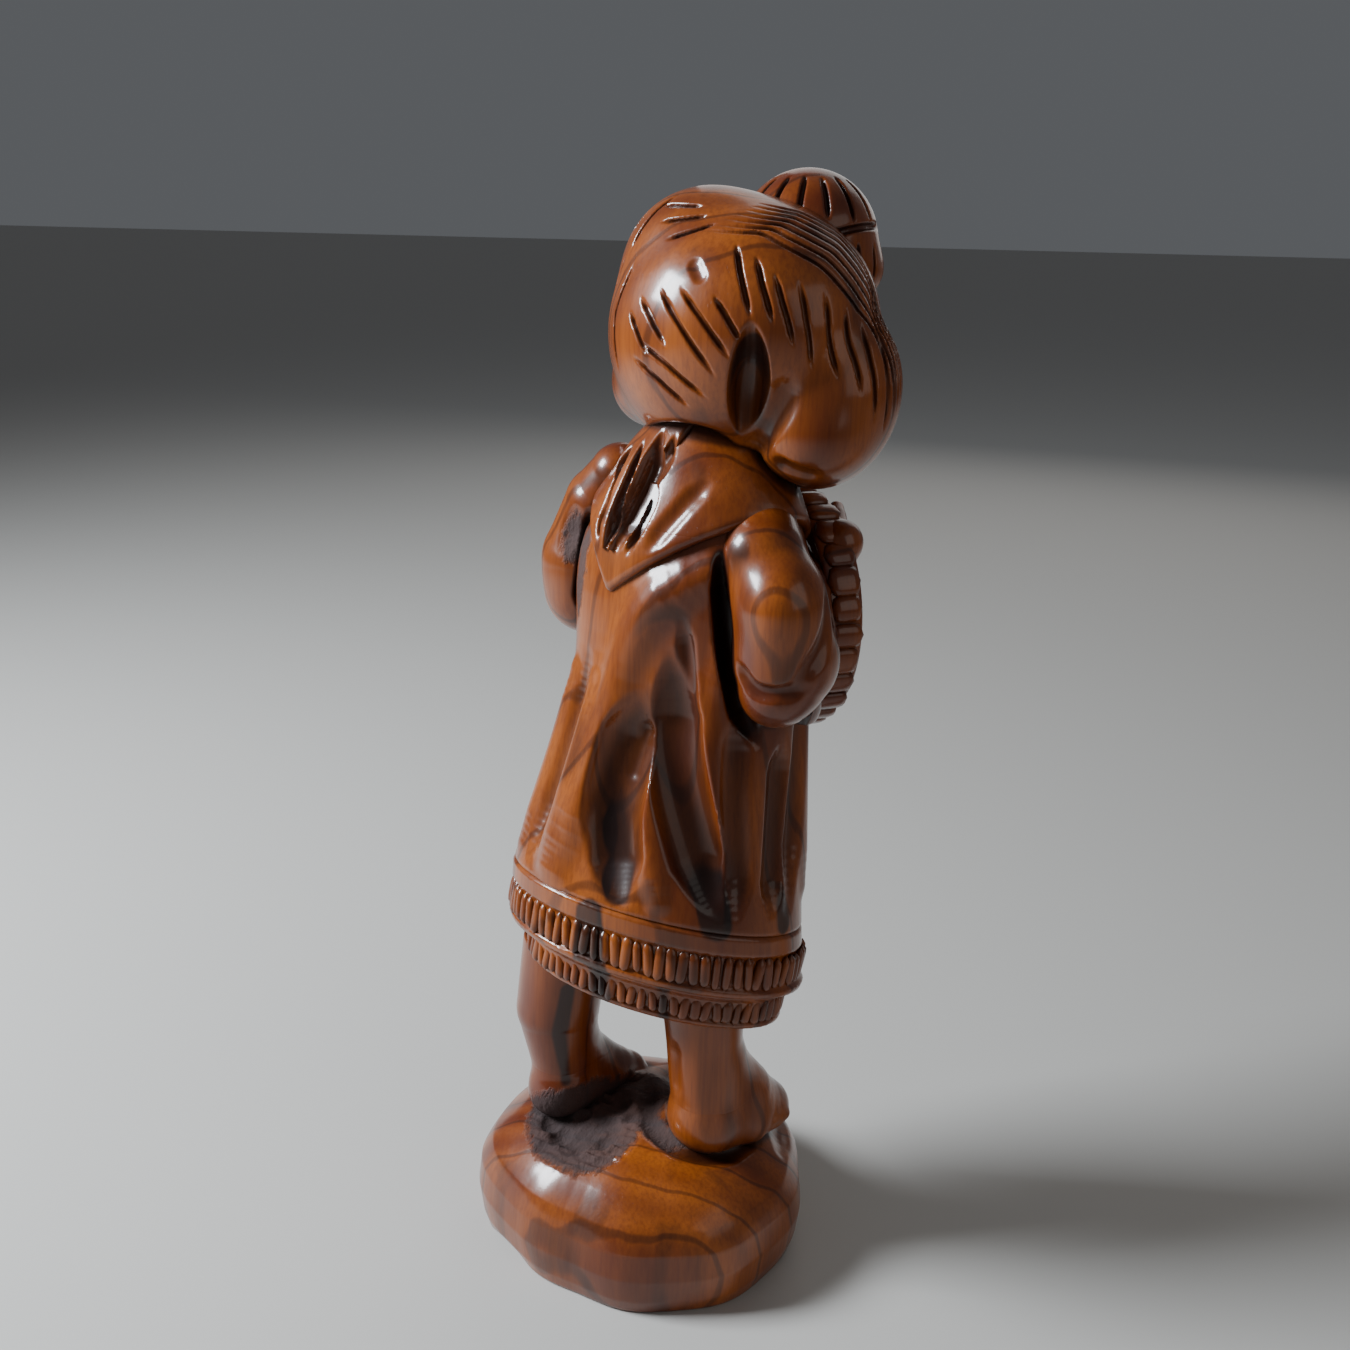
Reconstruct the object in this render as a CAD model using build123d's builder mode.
"""Standing carved wooden figurine with a bun, kerchief, fringed robe and hand drum, on a mound.

Frame: millimetres. The origin is the centre of the flat rest face under the mound, +Z is up,
the figure faces -Y, its left side is +X and its back is +Y.
Every named piece meets its neighbours on the boundary where the carver's cut divides them.
"""
from math import cos, radians, sin

from build123d import *
import os

os.makedirs("parts", exist_ok=True)

# ---- overall sizes -----------------------------------------------------------------------
TOTAL_HEIGHT = 200.0          # rest face to the top of the bun; every piece scales with it
DRAWN_HEIGHT = 200.0          # height at which the sizes below are given
MOUND_TOP = 25.0              # height of the crown of the mound the feet stand on
MOUND_SPREAD = 1.0            # scale of the footprint outline below
# footprint: (bearing in degrees from +X, radius in mm), an uneven oval flattened at the back
FOOTPRINT = [(218, 30.0), (187, 29.0), (156, 27.0), (125, 24.5), (92, 23.2), (70, 26.0),
             (50, 29.5), (25, 31.5), (350, 30.5), (315, 29.0), (280, 30.0), (245, 31.0)]
# mound wall: (height, scale of the footprint)
MOUND_WALL = [(0.0, 0.99), (8.0, 1.06), (17.0, 1.02), (MOUND_TOP, 0.80)]

# ---- garment -----------------------------------------------------------------------------
HEM_LOW = 53.0                # lower edge of the lower fringe
HEM_TIER = 61.0               # where the upper fringe starts
HEM_LINE = 73.0               # incised line above the upper fringe
WAIST_Z = 110.0
CHEST_Z = 140.0               # where the robe passes under the kerchief
FRINGE_STEP = 2.2             # how far the upper tier stands out past the lower tier
ROBE_WIDE = 28.8              # half width of the hem, left to right
ROBE_DEEP = 21.0              # half depth of the hem, front to back
HEM_Y = -1.8                  # middle of the hem, front to back
HEM_TILT = 14.0               # the body leans forward, so every level is higher at the back
HEM_TURN = 25.0               # the hem is turned with the stride, left side back
CHEST_TILT = 9.0
CHEST_TURN = 8.0
NECK_TILT = 15.0
# robe: (height, centre y, half width, half depth, tilt, turn) above the hem line
ROBE_SECTIONS = [(HEM_LINE, HEM_Y, 28.0, 20.3, HEM_TILT, HEM_TURN),
                 (88.0, -5.0, 24.8, 18.8, 13.0, 22.0), (WAIST_Z, -8.5, 22.4, 16.6, 11.0, 15.0),
                 (CHEST_Z, -10.5, 21.5, 14.4, CHEST_TILT, CHEST_TURN)]
KERCHIEF_TOP = 157.0
# kerchief: it rests on the robe and covers both shoulders
KERCHIEF_SECTIONS = [(CHEST_Z, -10.5, 23.0, 15.8, CHEST_TILT, CHEST_TURN),
                     (148.0, -12.5, 18.0, 13.6, 12.0, 4.0),
                     (KERCHIEF_TOP, -17.0, 11.5, 11.0, NECK_TILT, 0.0)]
POINT_LOW = 130.5             # lowest reach of the kerchief point on the back
POINT_OUT = 2.0               # how far the point stands off the robe

# ---- legs and feet -----------------------------------------------------------------------
LEG_TOP_R = 6.6
CALF_R = 7.8
ANKLE_R = 5.6
HEEL_R = 6.0
TOE_R = 5.2
FOOT_RUN = 17.0               # heel centre to toe centre
FOOT_AXIS_UP = 2.0            # height of the foot axis over the mound
ANKLE_CUT = 8.0               # height over the mound where the shin starts
# (name, top x, top y, ankle x, ankle y, turn of the toes from -Y toward +X in degrees)
LEGS = [("left", 15.0, 5.5, 14.5, 8.0, -4.0), ("right", -10.5, -4.0, -12.0, -4.5, -9.0)]

# ---- arms --------------------------------------------------------------------------------
ELBOW_R = 9.3
SHOULDER_R = 8.2
CUFF_R = 8.6
WRIST_R = 5.0
HAND_R = 4.6
R_SHOULDER = (-18.5, -9.5, 145.0)
R_ELBOW = (-21.5, -8.5, 117.5)
R_WRIST = (-14.2, -25.6, 131.0)
R_PALM = (-15.4, -28.2, 134.6)
R_HAND = (-16.6, -30.0, 140.0)
L_SHOULDER = (18.5, -9.0, 145.0)
L_ELBOW = (22.0, -4.5, 127.5)
L_WRIST = (14.0, -28.0, 117.0)
L_PALM = (12.0, -29.5, 116.0)
L_HAND = (8.5, -33.0, 113.5)

# ---- drum --------------------------------------------------------------------------------
DRUM_C = (-5.0, -32.0, 123.5)
DRUM_R = 22.0
DRUM_THICK = 7.0
DRUM_TURN = -25.0             # turn of its face from -Y toward the figure's right
DRUM_SKIN_R = 17.5
DRUM_SKIN_DEEP = 1.2

# ---- head --------------------------------------------------------------------------------
NECK_R = 8.0
HEAD_C = (0.0, -28.5, 167.5)
HEAD_R = 14.5
HEAD_H = 18.5
HAIR_C = (-0.5, -19.5, 173.0)
HAIR_R = 23.2
CROWN_C = (4.5, -16.5, 181.5)
CROWN_R = 15.5
R_LOBE_C, R_LOBE_R, R_LOBE_H = (-17.5, -22.5, 164.5), 12.6, 15.5
L_LOBE_C, L_LOBE_R, L_LOBE_H = (16.5, -21.0, 168.5), 10.5, 13.5
BUN_R = 12.0
BUN_C = (-3.5, -31.5, DRAWN_HEIGHT - BUN_R)
FACE_Y = -35.0                # the hair stops here so the face stays clear


def capsule(centre, wide, high):
    """Upright round-ended body of radius `wide` and half height `high`."""
    top = high - wide
    with BuildPart() as body:
        with BuildSketch(Plane.XZ):
            with BuildLine():
                CenterArc((0, top), wide, 0, 90)
                Line((wide, top), (wide, -top))
                CenterArc((0, -top), wide, -90, 90)
                Line((0, -high), (0, high))
            make_face()
        revolve(axis=Axis.Z)
    return body.part.moved(Location(centre))


def limb(start, finish, r0, r1):
    """Round-ended tapering body between two points with end radii r0 and r1."""
    a, b = Vector(*start), Vector(*finish)
    run = (b - a).length
    lean = (r0 - r1) / run
    flat = (1 - lean * lean) ** 0.5
    with BuildPart() as body:
        with BuildSketch(Plane.XZ):
            with BuildLine():
                ThreePointArc((0, -r0), (r0 * 0.70711, -r0 * 0.70711), (r0 * flat, r0 * lean))
                Line((r0 * flat, r0 * lean), (r1 * flat, run + r1 * lean))
                ThreePointArc((r1 * flat, run + r1 * lean),
                              (r1 * 0.70711, run + r1 * 0.70711), (0, run + r1))
                Line((0, run + r1), (0, -r0))
            make_face()
        revolve(axis=Axis.Z)
    return body.part.moved(Plane(origin=a, z_dir=(b - a).normalized()).location)


def tube(start, finish, r0, r1):
    """Flat-ended taper between two points with end radii r0 and r1."""
    a, b = Vector(*start), Vector(*finish)
    with BuildPart() as body:
        with BuildSketch(Plane.XZ):
            Polygon((0, 0), (r0, 0), (r1, (b - a).length), (0, (b - a).length), align=None)
        revolve(axis=Axis.Z)
    return body.part.moved(Plane(origin=a, z_dir=(b - a).normalized()).location)


def outline(scale_by):
    """Footprint points at one scale."""
    return [(r * scale_by * cos(radians(t)), r * scale_by * sin(radians(t)))
            for t, r in FOOTPRINT]


def level(height, cy, tilt):
    """Plane across the leaning body, `height` up at y = cy and rising to the back by tilt."""
    return Plane(origin=(0, cy, height), x_dir=(1, 0, 0),
                 z_dir=(0, -sin(radians(tilt)), cos(radians(tilt))))


def tower(sections):
    """Stack of ellipses (height, centre y, half width, half depth, tilt, turn)."""
    with BuildPart() as body:
        for height, cy, wide, deep, tilt, turn in sections:
            with BuildSketch(level(height, cy, tilt)):
                Ellipse(wide, deep, rotation=turn)
        loft(ruled=True)
    return body.part


bodies = []


def carve(name, blank, *others):
    """Named piece made from a blank, stopping at the faces of its neighbours."""
    with BuildPart() as piece:
        add(blank)
        for other in others:
            add(other.part, mode=Mode.SUBTRACT)
        if len(piece.solids()) > 1:
            add(piece.solids().sort_by(SortBy.VOLUME)[-1], mode=Mode.REPLACE)
    piece.part.label = name
    bodies.append(piece)
    return piece


# ---- mound -------------------------------------------------------------------------------
with BuildPart() as base_mound:
    for height, spread in MOUND_WALL:
        with BuildSketch(Plane.XY.offset(height)):
            with BuildLine():
                Spline(*outline(spread * MOUND_SPREAD), periodic=True)
            make_face()
    loft()
base_mound.part.label = "base_mound"

bodies.append(base_mound)

# ---- feet and legs: flat soles on the crown of the mound -----------------------------------
for side, tx, ty, ax, ay, turn in LEGS:
    heading = radians(-90 + turn)
    toe = (ax + FOOT_RUN * cos(heading), ay + FOOT_RUN * sin(heading), MOUND_TOP + FOOT_AXIS_UP)
    with BuildPart() as foot:
        add(limb((ax, ay, MOUND_TOP + FOOT_AXIS_UP), toe, HEEL_R, TOE_R))
        add(limb((ax, ay, MOUND_TOP), (ax, ay, MOUND_TOP + ANKLE_CUT), ANKLE_R, ANKLE_R))
        split(bisect_by=Plane.XY.offset(MOUND_TOP), keep=Keep.TOP)
        split(bisect_by=Plane.XY.offset(MOUND_TOP + ANKLE_CUT), keep=Keep.BOTTOM)
    foot.part.label = side + "_foot"
    bodies.append(foot)
    mid = ((ax + tx) / 2 * 1.02, (ay + ty) / 2 + 0.8)
    with BuildPart() as leg:
        with BuildSketch(Plane.XY.offset(MOUND_TOP + ANKLE_CUT)):
            with Locations((ax, ay)):
                Circle(ANKLE_R)
        with BuildSketch(Plane.XY.offset(MOUND_TOP + ANKLE_CUT + 10.0)):
            with Locations(mid):
                Circle(CALF_R)
        with BuildSketch(Plane.XY.offset(HEM_LOW + 8.0)):
            with Locations((tx, ty)):
                Circle(LEG_TOP_R)
        loft()
        split(bisect_by=level(HEM_LOW, HEM_Y, HEM_TILT), keep=Keep.BOTTOM)
    leg.part.label = side + "_leg"
    bodies.append(leg)

# ---- fringed tiers, robe, kerchief ---------------------------------------------------------
low_wide, low_deep = ROBE_WIDE - FRINGE_STEP, ROBE_DEEP - FRINGE_STEP
underskirt_fringe = carve("underskirt_fringe", tower([
    (HEM_LOW, HEM_Y, low_wide - 2.5, low_deep - 2.5, HEM_TILT, HEM_TURN),
    (HEM_TIER, HEM_Y, low_wide, low_deep, HEM_TILT, HEM_TURN)]))
tunic_fringe = carve("tunic_fringe", tower([
    (HEM_TIER, HEM_Y, ROBE_WIDE, ROBE_DEEP, HEM_TILT, HEM_TURN),
    (HEM_LINE, HEM_Y, ROBE_WIDE - 0.5, ROBE_DEEP, HEM_TILT, HEM_TURN)]))
robe = carve("robe", tower(ROBE_SECTIONS))
kerchief = carve("kerchief", tower(KERCHIEF_SECTIONS))

# pointed drop of the kerchief over the back of the robe
with BuildPart() as drop:
    with BuildSketch(Plane.XZ.offset(-2.0)):
        with BuildLine():
            Polyline((-18, CHEST_Z + 4), (5, POINT_LOW), (16, CHEST_Z + 4), close=True)
        make_face()
    extrude(amount=-4.6 - POINT_OUT)
    split(bisect_by=level(CHEST_Z, KERCHIEF_SECTIONS[0][1], CHEST_TILT), keep=Keep.BOTTOM)
kerchief_point = carve("kerchief_point", drop.part, robe)

# ---- head ----------------------------------------------------------------------------------
head = carve("head", capsule(HEAD_C, HEAD_R, HEAD_H), kerchief)
with BuildPart() as neck_blank:
    with BuildSketch(level(KERCHIEF_TOP, KERCHIEF_SECTIONS[-1][1], NECK_TILT)):
        Circle(NECK_R)
    extrude(amount=9.0)
neck = carve("neck", neck_blank.part, head)

# ---- sleeves, drum, cuffs, hands -----------------------------------------------------------
right_sleeve = carve("right_sleeve", limb(R_SHOULDER, R_ELBOW, SHOULDER_R, ELBOW_R), robe, kerchief)
left_sleeve = carve("left_sleeve", limb(L_SHOULDER, L_ELBOW, SHOULDER_R, ELBOW_R), robe, kerchief)

with BuildPart() as drum_blank:
    with BuildSketch():
        Circle(DRUM_R)
    extrude(amount=DRUM_THICK / 2, both=True)
    fillet(drum_blank.edges(), 1.2)
    with BuildSketch(Plane.XY.offset(DRUM_THICK / 2)):
        Circle(DRUM_SKIN_R)
    extrude(amount=-DRUM_SKIN_DEEP, mode=Mode.SUBTRACT)
drum_dir = (sin(radians(DRUM_TURN)), -cos(radians(DRUM_TURN)), 0.0)
drum_plane = Plane(origin=DRUM_C, x_dir=(0, 0, 1), z_dir=drum_dir)
hand_drum = carve("hand_drum", drum_blank.part.moved(drum_plane.location), head)

right_cuff = carve("right_cuff", tube(R_ELBOW, R_WRIST, CUFF_R - 0.8, CUFF_R - 2.4), robe,
                   right_sleeve, hand_drum)
left_cuff = carve("left_cuff", tube(L_ELBOW, L_WRIST, CUFF_R - 0.4, CUFF_R - 1.2), robe,
                  left_sleeve, hand_drum)
right_hand = carve("right_hand", limb(R_PALM, R_HAND, WRIST_R - 0.8, HAND_R), right_cuff,
                   hand_drum)
left_hand = carve("left_hand", limb(L_PALM, L_HAND, WRIST_R - 0.8, HAND_R), left_cuff,
                  hand_drum)

# ---- folded tails of the kerchief at the back left -----------------------------------------
kerchief_tails = carve("kerchief_tails", limb((6.0, 4.6, 136.5), (3.5, 2.5, 153.5), 4.0, 5.4),
                       robe, kerchief, kerchief_point)

# ---- hair ----------------------------------------------------------------------------------
with BuildPart() as hair_mass:
    with Locations(HAIR_C):
        Sphere(HAIR_R)
    split(bisect_by=Plane.XZ.offset(-FACE_Y), keep=Keep.BOTTOM)
back_hair = carve("back_hair", hair_mass.part, head, neck, kerchief, kerchief_tails)
with BuildPart() as crown_mass:
    with Locations(CROWN_C):
        Sphere(CROWN_R)
crown_hair = carve("crown_hair", crown_mass.part, head, neck, back_hair)
right_hair_lobe = carve("right_hair_lobe", capsule(R_LOBE_C, R_LOBE_R, R_LOBE_H), head, neck,
                        back_hair, crown_hair, kerchief, right_sleeve)
left_hair_lobe = carve("left_hair_lobe", capsule(L_LOBE_C, L_LOBE_R, L_LOBE_H), head, neck,
                       back_hair, crown_hair, kerchief, left_sleeve)
with BuildPart() as bun_mass:
    with Locations(BUN_C):
        Sphere(BUN_R)
topknot = carve("topknot", bun_mass.part, head, back_hair, crown_hair)

for piece in bodies:
    solids = sorted(piece.part.solids(), key=lambda s: s.volume, reverse=True)
    print(piece.part.label, len(solids), [round(s.volume, 1) for s in solids[:4]])
    if TOTAL_HEIGHT != DRAWN_HEIGHT:
        label = piece.part.label
        piece.part = Part(piece.part.scale(TOTAL_HEIGHT / DRAWN_HEIGHT, about=(0, 0, 0)).wrapped)
        piece.part.label = label
    export_step(piece.part, "parts/" + piece.part.label + ".step")
